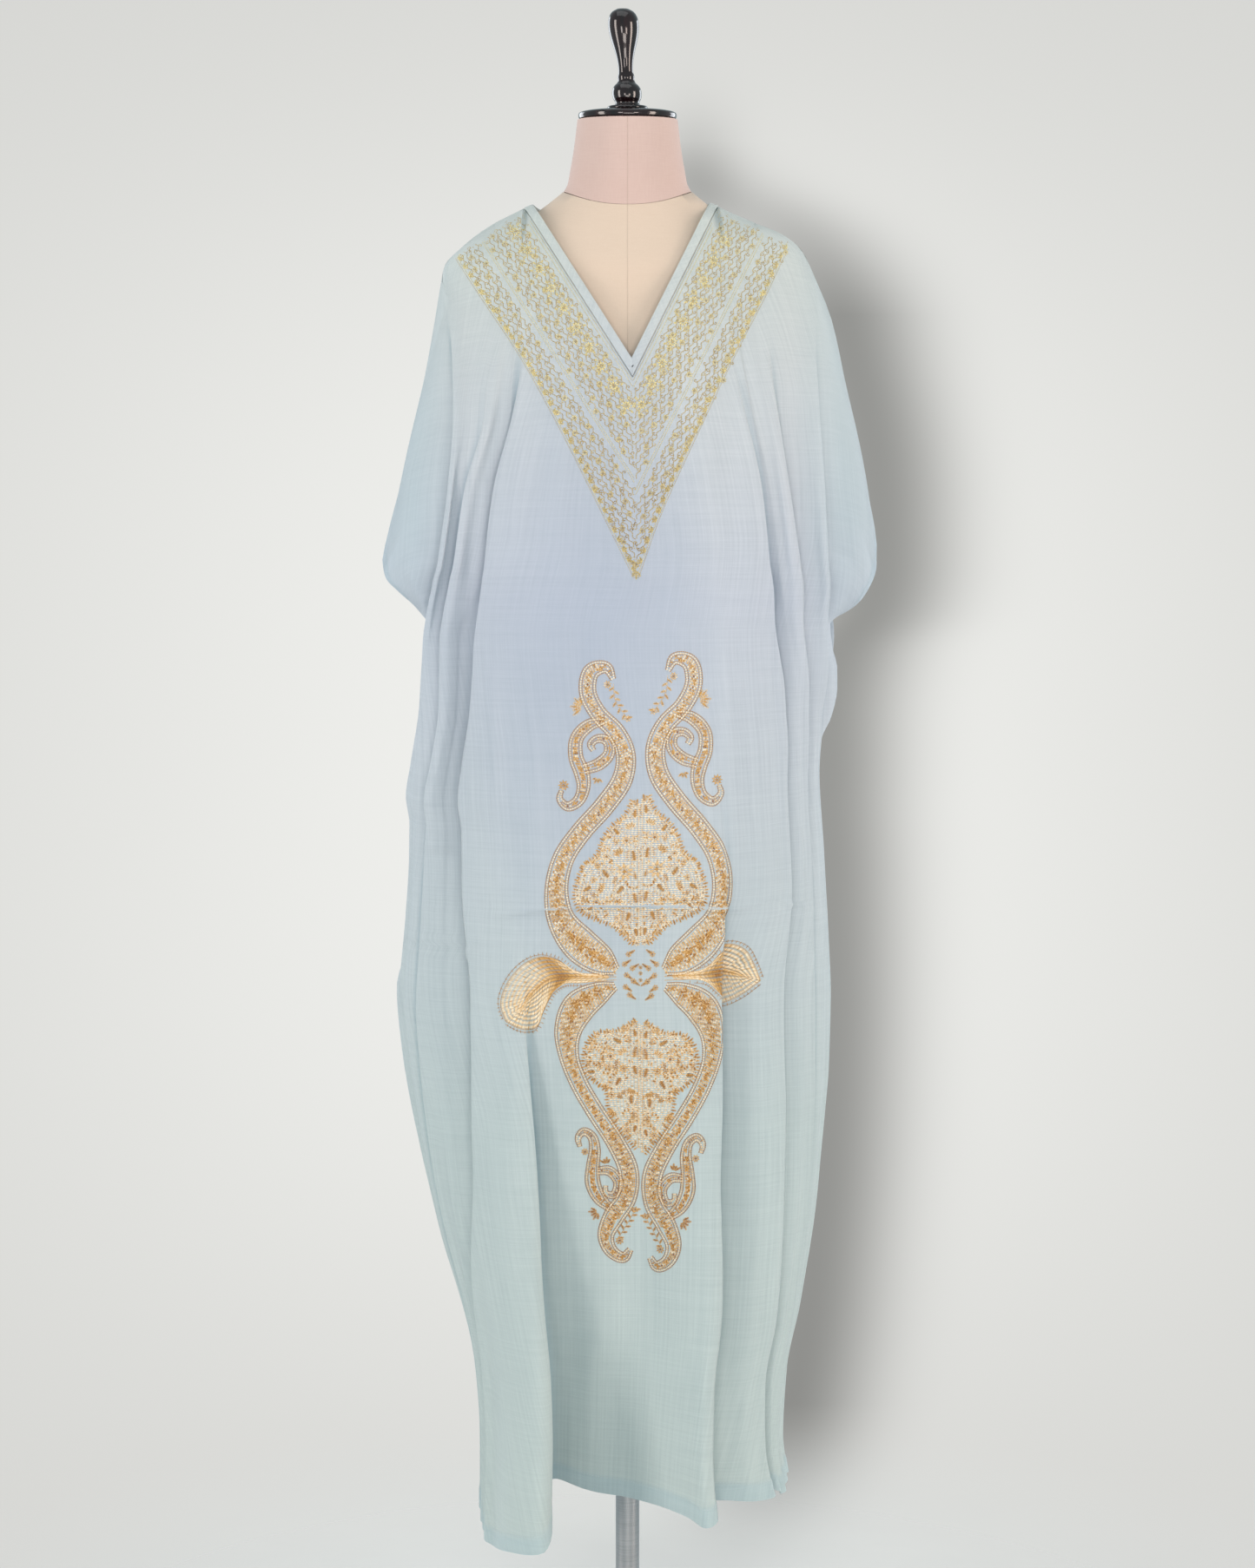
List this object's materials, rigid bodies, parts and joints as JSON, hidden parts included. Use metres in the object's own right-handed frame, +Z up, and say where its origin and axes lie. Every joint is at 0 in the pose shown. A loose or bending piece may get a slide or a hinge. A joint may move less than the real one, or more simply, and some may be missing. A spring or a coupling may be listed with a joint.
{
  "type": "kaftan on a dress form",
  "caption": "Long loose V-neck kaftan with an embroidered yoke and front panel, hanging in soft pleats on a limbless dress form with a turned finial, pole and round base.",
  "frame": {"origin": "centre of the base's flat underside, on the floor under the pole", "axes": "+Z up along the pole, -Y out of the kaftan's front, +X toward the viewer's right when facing the front"},
  "size_m": [0.508, 0.35, 1.7611],
  "materials": {
    "kaftan_front": "matte woven",
    "kaftan_back": "matte woven",
    "neck_binding": "matte woven",
    "form_torso": "taut linen",
    "form_neck": "taut linen",
    "neck_cap": "glossy lacquer",
    "finial": "glossy lacquer",
    "stand_pole": "brushed",
    "stand_base": "satin black"
  },
  "bodies": {
    "root": {"kaftan_front": "kaftan_front", "kaftan_back": "kaftan_back", "neck_binding": "neck_binding", "form_torso": "form_torso", "form_neck": "form_neck", "neck_cap": "neck_cap", "finial": "finial", "stand_pole": "stand_pole", "stand_base": "stand_base"}
  },
  "joints": []
}
